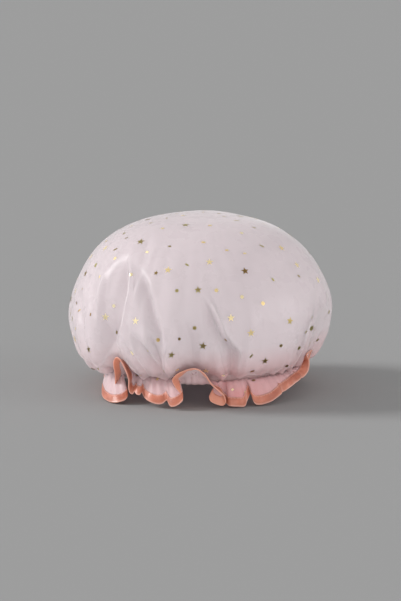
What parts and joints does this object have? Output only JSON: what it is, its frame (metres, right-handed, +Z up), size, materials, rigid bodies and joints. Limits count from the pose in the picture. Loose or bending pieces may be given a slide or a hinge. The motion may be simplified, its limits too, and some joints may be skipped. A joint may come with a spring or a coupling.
{
  "type": "shower cap",
  "caption": "Double-layer bouffant shower cap, filled out as when worn: sheer outer film, soft liner, sewn elastic channel and a wavy ruffle bound in satin ribbon.",
  "frame": {"origin": "on the surface that the cap stands on, below the middle of its bounding box", "axes": "+Z up through the crown, front at -Y, +X to the right seen from the front"},
  "size_m": [0.2465, 0.2352, 0.168],
  "materials": {
    "sheer_film": "sheer glossy organza-like film, pale pink-white, see-through",
    "liner_film": "thin milky EVA film, soft and slightly translucent",
    "satin": "coral pink satin ribbon with a soft sheen",
    "elastic": "white knitted elastic",
    "thread": "pink polyester sewing thread",
    "gold_foil": "hot-stamped gold foil, mirror-like where it catches the light"
  },
  "bodies": {
    "root": {"outer_film": "sheer_film", "inner_liner": "liner_film", "satin_ribbon": "satin", "elastic_loop": "elastic", "elastic_join_tack": "thread", "channel_upper_needle_thread": "thread", "channel_upper_bobbin_thread": "thread", "channel_lower_needle_thread": "thread", "channel_lower_bobbin_thread": "thread", "ribbon_needle_thread": "thread", "ribbon_bobbin_thread": "thread"}
  },
  "joints": []
}
